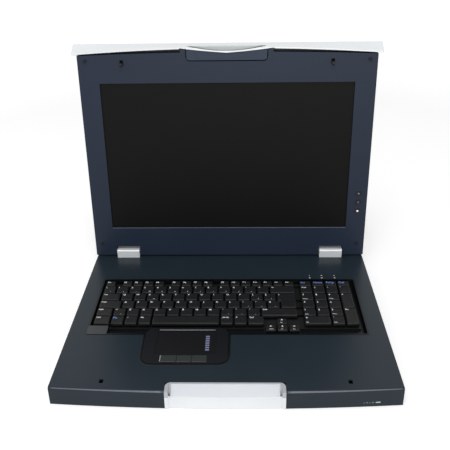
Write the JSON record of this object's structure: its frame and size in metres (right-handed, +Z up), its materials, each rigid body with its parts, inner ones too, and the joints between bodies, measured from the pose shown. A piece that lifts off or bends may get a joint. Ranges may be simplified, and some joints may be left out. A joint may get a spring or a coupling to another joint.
{
  "type": "rackmount console drawer",
  "caption": "Rack drawer on telescopic slides with a full keyboard, touchpad and a flat screen in a hinged lid that folds down over the keys.",
  "frame": {"origin": "centre of the four rack screws on the front face of the front ears", "axes": "+X right, +Y back into the rack, +Z up; the drawer is pulled right out towards -Y with the lid open"},
  "size_m": [0.4826, 0.9304, 0.3632],
  "materials": {
    "rail_steel": "zinc plated sheet, satin",
    "bracket_steel": "dark powder coat, fine satin",
    "screw_steel": "plated steel",
    "cage_brass": "stamped strip, semi-gloss",
    "deck_plastic": "dark blue-grey moulding, fine semi-gloss grain",
    "dark_paint": "dark grey paint, satin",
    "silver_plastic": "silver coat, smooth satin",
    "board_green": "green circuit board",
    "supply_case": "plain sheet",
    "black_plastic": "black moulding",
    "connector_metal": "plated shell",
    "lens_plastic": "translucent lens",
    "key_plastic": "near black, fine grain",
    "pad_button_plastic": "dark grey, satin",
    "bezel_plastic": "blue-grey moulding, fine satin grain",
    "screen_glass": "near black display face, switched off",
    "button_plastic": "grey button cap",
    "bumper_rubber": "soft black rubber"
  },
  "bodies": {
    "rack_rails": {"outer_rail_left": "rail_steel", "outer_rail_right": "rail_steel", "front_brackets": "bracket_steel", "rear_brackets": "bracket_steel", "bracket_screws": "screw_steel"},
    "middle_rails": {"middle_rail_left": "rail_steel", "middle_rail_right": "rail_steel"},
    "outer_cages": {"ball_cages_outer": "cage_brass"},
    "inner_cages": {"ball_cages_inner": "cage_brass"},
    "drawer": {"inner_rail_left": "rail_steel", "inner_rail_right": "rail_steel", "tray_cover": "deck_plastic", "tray_pan": "dark_paint", "handle": "silver_plastic", "rear_cover": "dark_paint", "controller_board": "board_green", "power_supply": "supply_case", "power_inlet": "black_plastic", "rear_connectors": "connector_metal", "drawer_screws": "screw_steel", "keyboard_frame": "deck_plastic", "key_guide_plate": "black_plastic", "keyboard_boards": "board_green", "touchpad_surface": "black_plastic", "indicator_lenses": "lens_plastic", "hinge_bases": "connector_metal", "hinge_cover_left": "silver_plastic", "hinge_cover_right": "silver_plastic"},
    "release_levers": {"rail_release_levers": "screw_steel"},
    "lid": {"lid_bezel": "bezel_plastic", "lid_back_shell": "dark_paint", "front_panel": "silver_plastic", "lcd_screen": "screen_glass", "lcd_module": "supply_case", "lcd_support_rails": "supply_case", "lid_driver_board": "board_green", "osd_board": "board_green", "lid_bumpers": "bumper_rubber", "hinge_pins": "screw_steel", "hinge_leaves": "connector_metal"},
    "paddle": {"latch_paddle": "bezel_plastic"},
    "latch_slider": {"latch_bar": "black_plastic"},
    "monitor_button_1": {"osd_button_1": "button_plastic"},
    "monitor_button_2": {"osd_button_2": "button_plastic"},
    "monitor_button_3": {"osd_button_3": "button_plastic"},
    "pad_button_left": {"touchpad_button_left": "pad_button_plastic"},
    "pad_button_middle": {"touchpad_button_middle": "pad_button_plastic"},
    "pad_button_right": {"touchpad_button_right": "pad_button_plastic"},
    "keys_function_row_body": {"keys_function_row": "key_plastic"},
    "keys_number_row_body": {"keys_number_row": "key_plastic"},
    "keys_upper_row_body": {"keys_upper_row": "key_plastic"},
    "keys_home_row_body": {"keys_home_row": "key_plastic"},
    "keys_lower_row_body": {"keys_lower_row": "key_plastic"},
    "keys_bottom_row_body": {"keys_bottom_row": "key_plastic"},
    "key_space_body": {"key_space": "key_plastic"},
    "key_enter_body": {"key_enter": "key_plastic"},
    "keys_arrows_body": {"keys_arrows": "key_plastic"},
    "keypad_top_keys_body": {"keypad_top_keys": "key_plastic"},
    "keypad_digit_keys_body": {"keypad_digit_keys": "key_plastic"},
    "keypad_tall_keys_body": {"keypad_tall_keys": "key_plastic"}
  },
  "joints": [
    {"name": "drawer_slide", "type": "slide", "parent": "rack_rails", "child": "drawer", "axis": [0, 1, 0], "range_m": [0, 0.448]},
    {"name": "middle_rail_slide", "type": "slide", "parent": "rack_rails", "child": "middle_rails", "axis": [0, 1, 0], "range_m": [0, 0.224]},
    {"name": "outer_cage_slide", "type": "slide", "parent": "rack_rails", "child": "outer_cages", "axis": [0, 1, 0], "range_m": [0, 0.112]},
    {"name": "inner_cage_slide", "type": "slide", "parent": "rack_rails", "child": "inner_cages", "axis": [0, 1, 0], "range_m": [0, 0.336]},
    {"name": "lid_hinge", "type": "hinge", "parent": "drawer", "child": "lid", "pos_m": [0, -0.131, 0.01068], "axis": [1, 0, 0], "range_deg": [-15, 92.5]},
    {"name": "paddle_pivot", "type": "hinge", "parent": "lid", "child": "paddle", "pos_m": [0, -0.1185, 0.32213], "axis": [-1, 0, 0], "range_deg": [0, 12], "stiffness_Nm_per_rad": 0.5, "springref_deg": -5.73},
    {"name": "latch_slide", "type": "slide", "parent": "lid", "child": "latch_slider", "axis": [0, 0.0436, 0.999], "range_m": [0, 0.003]},
    {"name": "release_lever_pivot", "type": "hinge", "parent": "drawer", "child": "release_levers", "pos_m": [0, -0.16, -0.00983], "axis": [1, 0, 0], "range_deg": [0, 2.5], "stiffness_Nm_per_rad": 0.2, "springref_deg": -5.73},
    {"name": "monitor_button_1_press", "type": "slide", "parent": "lid", "child": "monitor_button_1", "axis": [0, 0.999, -0.0436], "range_m": [0, 0.0007], "stiffness_N_per_m": 600, "springref_m": -0.001},
    {"name": "monitor_button_2_press", "type": "slide", "parent": "lid", "child": "monitor_button_2", "axis": [0, 0.999, -0.0436], "range_m": [0, 0.0007], "stiffness_N_per_m": 600, "springref_m": -0.001},
    {"name": "monitor_button_3_press", "type": "slide", "parent": "lid", "child": "monitor_button_3", "axis": [0, 0.999, -0.0436], "range_m": [0, 0.0007], "stiffness_N_per_m": 600, "springref_m": -0.001},
    {"name": "pad_button_left_press", "type": "slide", "parent": "drawer", "child": "pad_button_left", "axis": [0, 0, -1], "range_m": [0, 0.0007], "stiffness_N_per_m": 600, "springref_m": -0.001},
    {"name": "pad_button_middle_press", "type": "slide", "parent": "drawer", "child": "pad_button_middle", "axis": [0, 0, -1], "range_m": [0, 0.0007], "stiffness_N_per_m": 600, "springref_m": -0.001},
    {"name": "pad_button_right_press", "type": "slide", "parent": "drawer", "child": "pad_button_right", "axis": [0, 0, -1], "range_m": [0, 0.0007], "stiffness_N_per_m": 600, "springref_m": -0.001},
    {"name": "keys_function_row_press", "type": "slide", "parent": "drawer", "child": "keys_function_row_body", "axis": [0, 0, -1], "range_m": [0, 0.002], "stiffness_N_per_m": 500, "springref_m": -0.002},
    {"name": "keys_number_row_press", "type": "slide", "parent": "drawer", "child": "keys_number_row_body", "axis": [0, 0, -1], "range_m": [0, 0.002], "stiffness_N_per_m": 500, "springref_m": -0.002},
    {"name": "keys_upper_row_press", "type": "slide", "parent": "drawer", "child": "keys_upper_row_body", "axis": [0, 0, -1], "range_m": [0, 0.002], "stiffness_N_per_m": 500, "springref_m": -0.002},
    {"name": "keys_home_row_press", "type": "slide", "parent": "drawer", "child": "keys_home_row_body", "axis": [0, 0, -1], "range_m": [0, 0.002], "stiffness_N_per_m": 500, "springref_m": -0.002},
    {"name": "keys_lower_row_press", "type": "slide", "parent": "drawer", "child": "keys_lower_row_body", "axis": [0, 0, -1], "range_m": [0, 0.002], "stiffness_N_per_m": 500, "springref_m": -0.002},
    {"name": "keys_bottom_row_press", "type": "slide", "parent": "drawer", "child": "keys_bottom_row_body", "axis": [0, 0, -1], "range_m": [0, 0.002], "stiffness_N_per_m": 500, "springref_m": -0.002},
    {"name": "key_space_press", "type": "slide", "parent": "drawer", "child": "key_space_body", "axis": [0, 0, -1], "range_m": [0, 0.002], "stiffness_N_per_m": 500, "springref_m": -0.002},
    {"name": "key_enter_press", "type": "slide", "parent": "drawer", "child": "key_enter_body", "axis": [0, 0, -1], "range_m": [0, 0.002], "stiffness_N_per_m": 500, "springref_m": -0.002},
    {"name": "keys_arrows_press", "type": "slide", "parent": "drawer", "child": "keys_arrows_body", "axis": [0, 0, -1], "range_m": [0, 0.002], "stiffness_N_per_m": 500, "springref_m": -0.002},
    {"name": "keypad_top_keys_press", "type": "slide", "parent": "drawer", "child": "keypad_top_keys_body", "axis": [0, 0, -1], "range_m": [0, 0.002], "stiffness_N_per_m": 500, "springref_m": -0.002},
    {"name": "keypad_digit_keys_press", "type": "slide", "parent": "drawer", "child": "keypad_digit_keys_body", "axis": [0, 0, -1], "range_m": [0, 0.002], "stiffness_N_per_m": 500, "springref_m": -0.002},
    {"name": "keypad_tall_keys_press", "type": "slide", "parent": "drawer", "child": "keypad_tall_keys_body", "axis": [0, 0, -1], "range_m": [0, 0.002], "stiffness_N_per_m": 500, "springref_m": -0.002}
  ],
  "couplings": [
    {"joint": "middle_rail_slide", "follows": "drawer_slide", "ratio": 0.5},
    {"joint": "outer_cage_slide", "follows": "drawer_slide", "ratio": 0.25},
    {"joint": "inner_cage_slide", "follows": "drawer_slide", "ratio": 0.75},
    {"joint": "latch_slide", "follows": "paddle_pivot", "m_per_rad": 0.014324}
  ]
}
